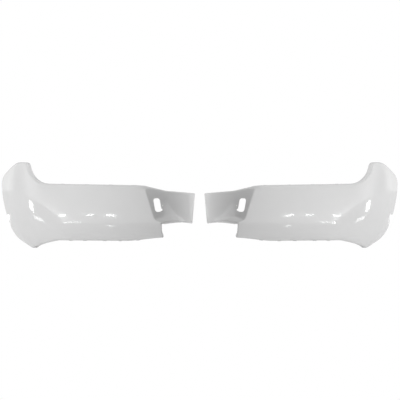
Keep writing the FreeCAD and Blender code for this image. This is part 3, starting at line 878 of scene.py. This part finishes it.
def spread(tree, value, low, high, start=0.3, end=0.7):
    """A value between low and high that follows a texture."""
    reach = tree.nodes.new("ShaderNodeMapRange")
    reach.inputs["From Min"].default_value = start
    reach.inputs["From Max"].default_value = end
    reach.inputs["To Min"].default_value = low
    reach.inputs["To Max"].default_value = high
    tree.links.new(value, reach.inputs["Value"])
    return reach.outputs["Result"]


def blend_colours(tree, value, first, second):
    mix = tree.nodes.new("ShaderNodeMix")
    mix.data_type = "RGBA"
    mix.inputs[6].default_value = (*first, 1)
    mix.inputs[7].default_value = (*second, 1)
    tree.links.new(value, mix.inputs["Factor"])
    return mix.outputs[2]


def bump(tree, shader, height, strength, distance):
    relief = tree.nodes.new("ShaderNodeBump")
    relief.inputs["Strength"].default_value = strength
    relief.inputs["Distance"].default_value = distance
    tree.links.new(height, relief.inputs["Height"])
    tree.links.new(relief.outputs["Normal"], shader.inputs["Normal"])
    return relief.outputs["Normal"]


def white_paint():
    """Glossy white paint with a fine orange peel under a clear coat."""
    material, tree, shader = new_material("gloss_white_paint")
    tint = spread(tree, noise(tree, 5, 3), 0, 1)
    colour = blend_colours(tree, tint, (0.80, 0.80, 0.80), (0.82, 0.82, 0.82))
    tree.links.new(colour, shader.inputs["Base Color"])
    rough = spread(tree, noise(tree, 40, 4), 0.10, 0.15)
    tree.links.new(rough, shader.inputs["Roughness"])
    shader.inputs["Coat Weight"].default_value = 0.8
    shader.inputs["Coat Roughness"].default_value = 0.03
    bump(tree, shader, noise(tree, 260, 2), 0.05, 0.0003)
    return material


def raw_plastic():
    """The bare inner side of the moulding: satin white with a fine grain."""
    material, tree, shader = new_material("raw_white_plastic")
    tint = spread(tree, noise(tree, 9, 4), 0, 1)
    colour = blend_colours(tree, tint, (0.66, 0.66, 0.64), (0.72, 0.72, 0.70))
    tree.links.new(colour, shader.inputs["Base Color"])
    rough = spread(tree, noise(tree, 60, 4), 0.38, 0.52)
    tree.links.new(rough, shader.inputs["Roughness"])
    bump(tree, shader, noise(tree, 900, 3), 0.25, 0.0002)
    return material


def tape_foam():
    """Grey acrylic foam, seen at the tape's edges."""
    material, tree, shader = new_material("grey_tape_foam")
    cells = noise(tree, 2500, 4)
    tint = spread(tree, cells, 0, 1)
    colour = blend_colours(tree, tint, (0.10, 0.10, 0.11), (0.17, 0.17, 0.18))
    tree.links.new(colour, shader.inputs["Base Color"])
    shader.inputs["Roughness"].default_value = 0.75
    bump(tree, shader, cells, 0.5, 0.0002)
    return material


def tape_liner():
    """The red film that covers the tape until it is stuck down."""
    material, tree, shader = new_material("red_tape_liner")
    tint = spread(tree, noise(tree, 30, 3), 0, 1)
    colour = blend_colours(tree, tint, (0.42, 0.015, 0.02), (0.50, 0.02, 0.025))
    tree.links.new(colour, shader.inputs["Base Color"])
    rough = spread(tree, noise(tree, 120, 4), 0.22, 0.38)
    tree.links.new(rough, shader.inputs["Roughness"])
    bump(tree, shader, noise(tree, 180, 3), 0.3, 0.0004)
    return material


def spring_steel():
    """Blued spring steel with the marks of its rolling."""
    material, tree, shader = new_material("clip_spring_steel")
    streaks = noise(tree, 300, 5, (1, 1, 12))
    tint = spread(tree, streaks, 0, 1)
    colour = blend_colours(tree, tint, (0.22, 0.23, 0.25), (0.32, 0.33, 0.35))
    tree.links.new(colour, shader.inputs["Base Color"])
    shader.inputs["Metallic"].default_value = 1.0
    tree.links.new(spread(tree, streaks, 0.25, 0.45), shader.inputs["Roughness"])
    bump(tree, shader, streaks, 0.15, 0.0001)
    return material


def white_nylon(name, shade):
    """Moulded white nylon with a faint grain."""
    material, tree, shader = new_material(name)
    tint = spread(tree, noise(tree, 80, 3), 0, 1)
    yellower = (shade * 1.05, shade * 1.05, shade)
    colour = blend_colours(tree, tint, (shade, shade, shade * 0.97), yellower)
    tree.links.new(colour, shader.inputs["Base Color"])
    tree.links.new(spread(tree, noise(tree, 200, 3), 0.35, 0.5), shader.inputs["Roughness"])
    bump(tree, shader, noise(tree, 1400, 4), 0.25, 0.0001)
    return material


# ---------------------------------------------------------------- stage
# The surrounding's light: its strength, and its share against how far a direction turns
# to either side, from 0 straight ahead to 1 square to the camera's view.
WORLD_LIGHT = 2.44
WORLD_SHARES = {0.0: 0.52, 0.3: 0.54, 0.6: 0.76, 0.8: 0.70, 1.0: 0.25}
LESS_FROM_ABOVE = 0.6           # share of the light lost straight overhead
LESS_FROM_BEHIND = 0.5          # and straight behind the covers
FLOOR_LEVEL = -0.0008
FLOOR_REACH = 40
FLOOR_GLOW = 0.14               # light of its own, so that it reflects like the surrounding
CARD_HEIGHT = 0.6
CARD_NEAR = -0.2
CARD_FAR = -4

# Small strip lamps for the half at +X: both ends, the height and the brightness, and
# the part of the cover that each is turned to. They are mirrored for the other half.
LAMPS = {
    "corner_lamp": ((1.48, -0.56, 0.18), (1.50, -0.50, 0.04), 0.13, 13),
    "long_lamp": ((1.95, -2.40, 0.21), (1.77, -2.47, 0.35), 0.04, 13),
    "thin_lamp": ((1.90, -2.42, 0.07), (1.49, -2.58, 0.16), 0.022, 11),
    "spot_lamp": ((1.40, -1.44, 0.08), (1.36, -1.46, 0.09), 0.045, 13),
    "middle_lamp": ((1.42, -2.59, 0.39), (1.32, -2.62, 0.39), 0.03, 15),
    "inner_lamp": ((1.18, -2.65, 0.40), (1.07, -2.68, 0.35), 0.05, 14),
    "low_lamp": ((0.62, -0.74, 0.06), (0.58, -0.74, 0.03), 0.022, 6),
    "low_corner_lamp": ((1.11, -0.26, 0.06), (1.01, -0.35, 0.06), 0.03, 4),
    "end_lamp": ((1.16, 0.46, 0.11), (1.14, 0.52, 0.04), 0.015, 4),
}
LAMPS_AIM = {
    "corner_lamp": (0.84, -0.07, 0.21),
    "low_corner_lamp": (0.80, -0.08, 0.14),
    "low_lamp": (0.44, -0.16, 0.11),
    "end_lamp": (0.96, 0.14, 0.14),
}
USUAL_AIM = (0.6, -0.13, 0.16)


def white_when_seen(tree, lit, seen):
    """Plain white where the camera looks straight at it, and its own light elsewhere."""
    path = tree.nodes.new("ShaderNodeLightPath")
    mix = tree.nodes.new("ShaderNodeMixShader")
    tree.links.new(path.outputs["Is Camera Ray"], mix.inputs["Fac"])
    tree.links.new(lit, mix.inputs[1])
    tree.links.new(seen, mix.inputs[2])
    return mix.outputs["Shader"]


def clear_from_below(tree, surface):
    """The same surface, but one that can be looked through from its back."""
    sides = tree.nodes.new("ShaderNodeNewGeometry")
    clear = tree.nodes.new("ShaderNodeBsdfTransparent")
    mix = tree.nodes.new("ShaderNodeMixShader")
    tree.links.new(sides.outputs["Backfacing"], mix.inputs["Fac"])
    tree.links.new(surface, mix.inputs[1])
    tree.links.new(clear.outputs["BSDF"], mix.inputs[2])
    return mix.outputs["Shader"]


def floor_material():
    material, tree, shader = new_material("studio_floor")
    shader.inputs["Base Color"].default_value = (0.80, 0.80, 0.80, 1)
    shader.inputs["Roughness"].default_value = 0.8
    shader.inputs["Emission Color"].default_value = (1, 1, 1, 1)
    shader.inputs["Emission Strength"].default_value = FLOOR_GLOW
    seen = tree.nodes.new("ShaderNodeEmission")
    surface = white_when_seen(tree, shader.outputs["BSDF"], seen.outputs["Emission"])
    surface = clear_from_below(tree, surface)
    tree.links.new(surface, tree.nodes["Material Output"].inputs["Surface"])
    return material


def card_material():
    material, tree, shader = new_material("black_card")
    shader.inputs["Base Color"].default_value = (0.02, 0.02, 0.02, 1)
    shader.inputs["Roughness"].default_value = 0.9
    return material


def flat_thing(name, corners, material):
    mesh = bpy.data.meshes.new(name)
    mesh.from_pydata(corners, [], [(0, 1, 2, 3)])
    mesh.materials.append(material)
    thing = bpy.data.objects.new(name, mesh)
    bpy.context.collection.objects.link(thing)
    return thing


def product(tree, first, second):
    times = tree.nodes.new("ShaderNodeMath")
    times.operation = "MULTIPLY"
    tree.links.new(first, times.inputs[0])
    tree.links.new(second, times.inputs[1])
    return times.outputs["Value"]


def brighter_at_the_sides(tree):
    """The surrounding's light: lowest straight ahead, rising towards either side."""
    direction = tree.nodes.new("ShaderNodeTexCoord")
    parts = tree.nodes.new("ShaderNodeSeparateXYZ")
    tree.links.new(direction.outputs["Generated"], parts.inputs["Vector"])
    sideways = tree.nodes.new("ShaderNodeMath")
    sideways.operation = "ABSOLUTE"
    tree.links.new(parts.outputs["X"], sideways.inputs[0])
    ramp = tree.nodes.new("ShaderNodeValToRGB")
    stops = ramp.color_ramp.elements
    for place, share in WORLD_SHARES.items():
        stop = stops.new(place) if 0 < place < 1 else stops[0 if place == 0 else -1]
        stop.color = (share, share, share, 1)
    tree.links.new(sideways.outputs["Value"], ramp.inputs["Fac"])
    overhead = WORLD_LIGHT * (1 - LESS_FROM_ABOVE)
    above = spread(tree, parts.outputs["Z"], WORLD_LIGHT, overhead, 0, 1)
    behind = spread(tree, parts.outputs["Y"], 1, 1 - LESS_FROM_BEHIND, 0, 1)
    return product(tree, ramp.outputs["Color"], product(tree, above, behind))


def build_stage():
    """A pale floor, a white surrounding, and a black card between the two halves."""
    signs = ((-1, -1), (1, -1), (1, 1), (-1, 1))
    corners = [(x * FLOOR_REACH, y * FLOOR_REACH, FLOOR_LEVEL) for x, y in signs]
    flat_thing("studio_floor", corners, floor_material())
    foot = [(0, CARD_FAR, 0), (0, CARD_NEAR, 0)]
    head = [(0, CARD_NEAR, CARD_HEIGHT), (0, CARD_FAR, CARD_HEIGHT)]
    card = flat_thing("black_card", foot + head, card_material())
    card.visible_camera = False
    world = bpy.data.worlds.new("studio")
    bpy.context.scene.world = world
    world.use_nodes = True
    tree = world.node_tree
    lit = tree.nodes["Background"]
    lit.inputs["Color"].default_value = (1, 1, 1, 1)
    tree.links.new(brighter_at_the_sides(tree), lit.inputs["Strength"])
    seen = tree.nodes.new("ShaderNodeBackground")
    seen.inputs["Color"].default_value = (1, 1, 1, 1)
    surface = white_when_seen(tree, lit.outputs["Background"], seen.outputs["Background"])
    tree.links.new(surface, tree.nodes["World Output"].inputs["Surface"])


def strip_lamp(name, start, end, aim, height, brightness):
    """A rectangular lamp between two points, turned about its length to face another."""
    middle = (start + end) / 2
    along = (end - start).normalized()
    back = middle - aim
    back = (back - along * back.dot(along)).normalized()
    turned = Matrix((along, back.cross(along), back)).transposed()
    data = bpy.data.lights.new(name, "AREA")
    data.shape = "RECTANGLE"
    data.size = (end - start).length
    data.size_y = height
    data.energy = brightness * math.pi * data.size * height
    lamp = bpy.data.objects.new(name, data)
    lamp.visible_camera = False
    lamp.visible_diffuse = False
    lamp.matrix_world = Matrix.LocRotScale(middle, turned.to_quaternion(), None)
    bpy.context.collection.objects.link(lamp)


def build_lamps():
    """The strip lamps, which only show as reflections in the paint."""
    for name, (start, end, height, brightness) in LAMPS.items():
        for prefix, side in (("right_", 1), ("left_", -1)):
            aim = LAMPS_AIM.get(name, USUAL_AIM)
            places = [V((p[0] * side, *p[1:])) for p in (start, end, aim)]
            strip_lamp(prefix + name, *places, height, brightness)


CAMERA_PLACE = (0.0015, -11.26, 0.239)
VIEW_WIDTH = 2.0


def build_camera():
    data = bpy.data.cameras.new("camera")
    data.type = "ORTHO"
    data.ortho_scale = VIEW_WIDTH
    data.clip_end = 100
    camera = bpy.data.objects.new("camera", data)
    camera.location = CAMERA_PLACE
    camera.rotation_euler = (math.pi / 2, 0, 0)
    bpy.context.collection.objects.link(camera)
    bpy.context.scene.camera = camera


# ---------------------------------------------------------------- foam tape
TAPE_WIDTH = 12.7
TAPE_GAP = 0.1
FOAM_THICKNESS = 1.0
LINER_THICKNESS = 0.14
LINER_OVERHANG = 0.25
PULL_TAB = 7.0
SKIN_TAPES = {
    "upper_tape": ((300, 282), (735, 286)),
    "lower_tape": ((222, 86), (735, 72)),
    "ear_tape": ((886, 235), (890, 385)),
    "end_tape": ((955, 175), (966, 315)),
}
# On the recess skin, the share from the crease inward and from the bottom up
RECESS_TAPES = {
    "recess_tape": ((16 / 33, 5 / 25), (16 / 33, 21.5 / 25)),
    "tab_upper_tape": ((20.5 / 33, 21 / 25), (32 / 33, 21 / 25)),
    "tab_lower_tape": ((20.5 / 33, 4 / 25), (32 / 33, 4 / 25)),
}


def band(low, high, half_width, corner):
    """The cross section of a strip with rounded corners, as (sideways, depth) points."""
    points = []
    for cx, cz, start in ((1, 1, 0), (-1, 1, 90), (-1, -1, 180), (1, -1, 270)):
        for k in range(4):
            a = math.radians(start + 30 * k)
            sideways = cx * (half_width - corner) + corner * math.cos(a)
            middle = (low + high) / 2
            depth = middle + cz * ((high - low) / 2 - corner) + corner * math.sin(a)
            points.append((sideways, depth))
    return points


def strip_sections(place, start, end, section, extra=0.0):
    """Cross sections along a strip inside a skin given by place(a, b)."""
    da, db = end[0] - start[0], end[1] - start[1]
    length = (place(*end)[0] - place(*start)[0]).length
    count = max(8, int(length / 5))
    rings = []
    for i in range(count + 1):
        t = (i / count) * (1 + extra / length)
        centre, normal = place(start[0] + da * t, start[1] + db * t)
        ahead = place(start[0] + da * (t + 0.01), start[1] + db * (t + 0.01))[0]
        along = (ahead - centre).normalized()
        sideways = normal.cross(along).normalized()
        deep = SHELL + TAPE_GAP
        rings.append([centre + sideways * s - normal * (deep + d) for s, d in section])
    return rings


def tube(rings, points, faces):
    """Close a row of rings into a solid and add it to the lists."""
    start, size = len(points), len(rings[0])
    for ring in rings:
        points.extend(ring)
    for i in range(len(rings) - 1):
        for k in range(size):
            a, b = start + i * size + k, start + i * size + (k + 1) % size
            faces.append((a, b, b + size, a + size))
    faces.append(tuple(range(start + size - 1, start - 1, -1)))
    last = start + (len(rings) - 1) * size
    faces.append(tuple(range(last, last + size)))


def build_tape(name, place, ends, side, foam, liner):
    """A strip of foam tape with its release film, which ends in a short pull tab."""
    body = band(0, FOAM_THICKNESS, TAPE_WIDTH / 2, 0.25)
    film = band(
        FOAM_THICKNESS, FOAM_THICKNESS + LINER_THICKNESS, TAPE_WIDTH / 2 + LINER_OVERHANG, 0.05
    )
    points, faces = [], []
    tube(strip_sections(place, *ends, body), points, faces)
    foam_faces = len(faces)
    tube(strip_sections(place, *ends, film, PULL_TAB), points, faces)
    mesh = bpy.data.meshes.new(name)
    mesh.from_pydata([(p.x * side * MM, p.y * MM, p.z * MM) for p in points], [], faces)
    slots = [0] * foam_faces + [1] * (len(faces) - foam_faces)
    mesh.polygons.foreach_set("material_index", slots)
    mesh.materials.append(foam)
    mesh.materials.append(liner)
    build = bmesh.new()
    build.from_mesh(mesh)
    bmesh.ops.recalc_face_normals(build, faces=build.faces)
    build.to_mesh(mesh)
    build.free()
    tape = bpy.data.objects.new(name, mesh)
    bpy.context.collection.objects.link(tape)
    return tape


def skin_place(run, z):
    return skin(run, z), skin_normal(run, z)


def recess_place(u, v):
    return recess(u, v), recess_normal(u, v)


def build_tapes(foam, liner):
    strips = {}
    for name, ends in SKIN_TAPES.items():
        strips[name] = (skin_place, [(run_at(x, z), z) for x, z in ends])
    for name, ends in RECESS_TAPES.items():
        strips[name] = (recess_place, ends)
    for name, (place, ends) in strips.items():
        for prefix, side in (("right_", 1), ("left_", -1)):
            tape = build_tape(prefix + name + "_strip", place, ends, side, foam, liner)
            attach(tape, "covers")
            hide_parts(prefix + name)


# ---------------------------------------------------------------- the pieces
RETAINER_PLACES = ("inner", "outer")


def seat_of(where):
    """The middle of a retainer in plan view, in millimetres."""
    low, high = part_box("right_" + where + "_retainer")
    return ((low[0] + high[0]) / 2 / MM, (low[1] + high[1]) / 2 / MM)


def build_covers(paint, raw):
    """Both shells, painted outside and bare inside; the left one is mirrored."""
    sheet = build_sheet([seat_of(where) for where in RETAINER_PLACES])
    for name, side in (("right", 1), ("left", -1)):
        cover = shell_mesh(name + "_cover_shell", sheet, side)
        cover.data.materials.append(paint)
        cover.data.materials.append(raw)
        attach(cover, "covers")
        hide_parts(name + "_cover")


def dress_fasteners():
    """The clips, retainers and pins keep their CAD shapes and get their materials."""
    finishes = {
        "edge_clips": spring_steel(),
        "retainer": white_nylon("retainer_nylon", 0.68),
        "retainer_pin": white_nylon("retainer_pin_nylon", 0.74),
    }
    for name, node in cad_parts.items():
        for ending, material in finishes.items():
            if name.endswith(ending):
                node.data.materials.clear()
                node.data.materials.append(material)


build_covers(white_paint(), raw_plastic())
build_tapes(tape_foam(), tape_liner())
dress_fasteners()
build_stage()
build_lamps()
build_camera()
bpy.context.scene.view_settings.view_transform = "Standard"
